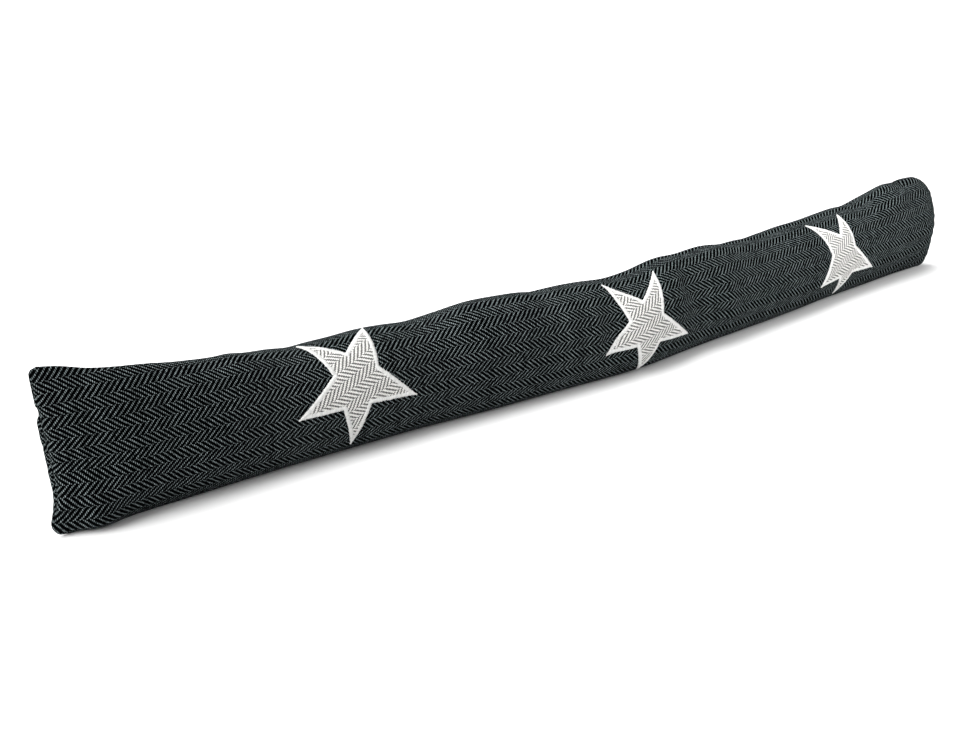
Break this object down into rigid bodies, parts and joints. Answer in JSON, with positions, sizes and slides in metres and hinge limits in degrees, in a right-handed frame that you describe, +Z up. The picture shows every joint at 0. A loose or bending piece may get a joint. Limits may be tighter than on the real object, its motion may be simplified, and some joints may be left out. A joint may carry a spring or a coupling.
{
  "type": "draught excluder",
  "caption": "Long filled cloth tube that lies along the foot of a door to stop draughts, in dark herringbone cloth with pale sewn-on stars.",
  "frame": {"origin": "on the floor, under the middle of the object's box", "axes": "+X along the tube from its broad flat end towards its full end, +Y from the side with the stars towards the back, +Z up"},
  "size_m": [0.9288, 0.09, 0.117],
  "materials": {
    "dark_herringbone": "matt woven wool-like herringbone, charcoal and black",
    "pale_herringbone": "matt woven herringbone, off-white with warm grey lines",
    "satin_thread": "white thread in close satin stitches, soft sheen"
  },
  "bodies": {
    "root": {"tube": "dark_herringbone", "star_1": "pale_herringbone", "star_2": "pale_herringbone", "star_3": "pale_herringbone", "star_edge_1": "satin_thread", "star_edge_2": "satin_thread", "star_edge_3": "satin_thread"}
  },
  "joints": []
}
